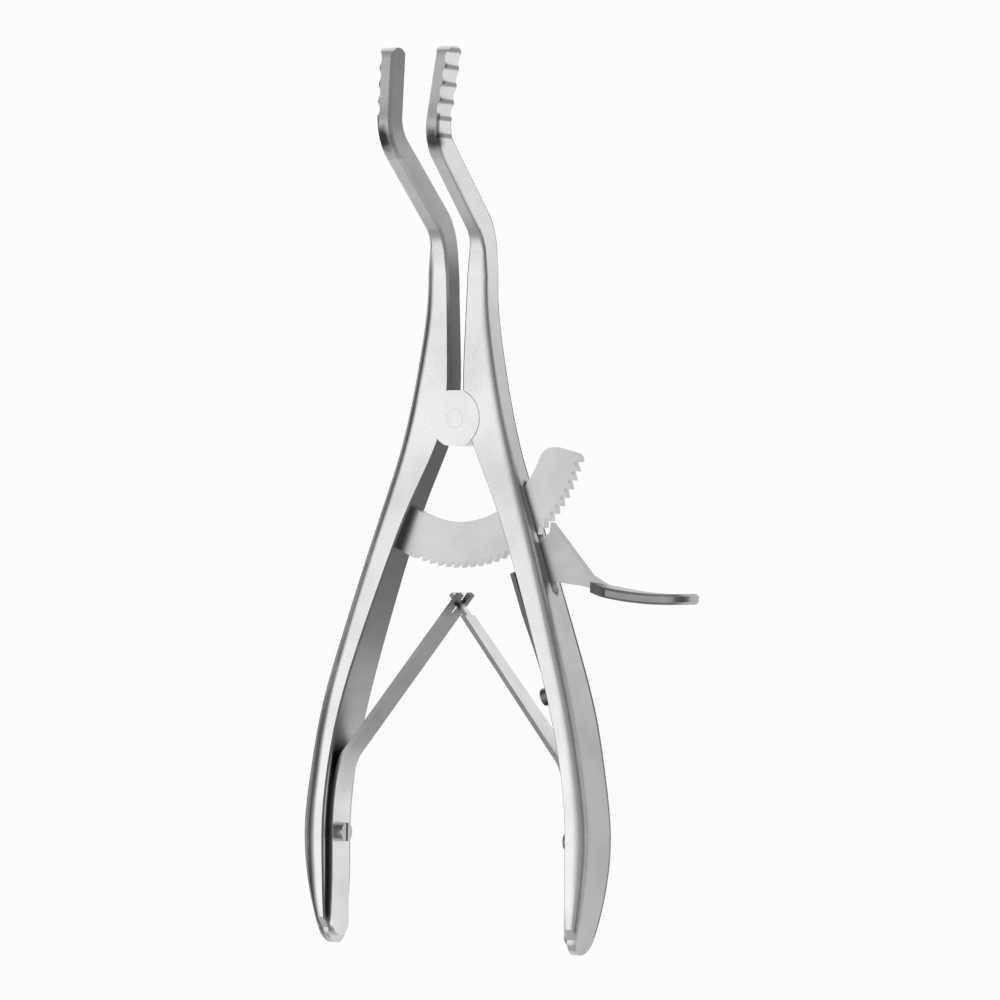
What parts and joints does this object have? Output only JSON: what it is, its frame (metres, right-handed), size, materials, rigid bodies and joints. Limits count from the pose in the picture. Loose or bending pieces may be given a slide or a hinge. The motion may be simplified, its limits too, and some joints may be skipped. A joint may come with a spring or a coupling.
{
  "type": "mouth gag",
  "caption": "Ratchet-pliers mouth gag: squeezing the handles spreads the grooved bayonet jaws, and a spring-loaded thumb lever catches the toothed arc that holds them open.",
  "frame": {"origin": "pivot axis of the lap joint, on the joint's back face", "axes": "+X to the toothed arc's free end and the thumb lever, across the handles; +Y along the instrument to the jaws; +Z along the pivot to the front, the way the jaws step"},
  "size_m": [0.094, 0.188, 0.0273],
  "materials": {
    "satin_steel": "satin",
    "blanked_steel": "satin",
    "spring_steel": "satin",
    "turned_steel": "satin"
  },
  "bodies": {
    "right_arm": {"right_arm": "satin_steel", "pivot_pin": "satin_steel", "lever_pin": "satin_steel", "pawl_spring": "spring_steel", "pawl_spring_screw": "turned_steel", "right_spring_screw": "turned_steel"},
    "left_arm": {"left_arm": "satin_steel", "rack": "blanked_steel", "rack_pin": "satin_steel", "left_spring_screw": "turned_steel"},
    "lever": {"lever": "satin_steel"},
    "left_spring": {"left_leaf_spring": "spring_steel"},
    "right_spring": {"right_leaf_spring": "spring_steel"}
  },
  "joints": [
    {"name": "arms", "type": "hinge", "parent": "right_arm", "child": "left_arm", "pos_m": [0, 0, 0.0026], "axis": [0, 0, 1], "range_deg": [-7.4, 26.25], "stiffness_Nm_per_rad": 2},
    {"name": "lever_turn", "type": "hinge", "parent": "right_arm", "child": "lever", "pos_m": [0.01917, -0.02952, 0.0026], "axis": [0, 0, 1], "range_deg": [-6, 9.3], "stiffness_Nm_per_rad": 0.1, "deforming": ["pawl_spring"]},
    {"name": "left_spring_flex", "type": "hinge", "parent": "left_arm", "child": "left_spring", "pos_m": [-0.0285, -0.075, 0.0026], "axis": [0, 0, 1], "range_deg": [-3.6, 12.3], "deforming": ["left_leaf_spring"]},
    {"name": "right_spring_flex", "type": "hinge", "parent": "right_arm", "child": "right_spring", "pos_m": [0.0285, -0.075, 0.0026], "axis": [0, 0, 1], "range_deg": [-12.3, 3.6], "deforming": ["right_leaf_spring"]}
  ],
  "couplings": [
    {"joint": "left_spring_flex", "follows": "arms", "ratio": 0.46},
    {"joint": "right_spring_flex", "follows": "arms", "ratio": -0.46}
  ]
}
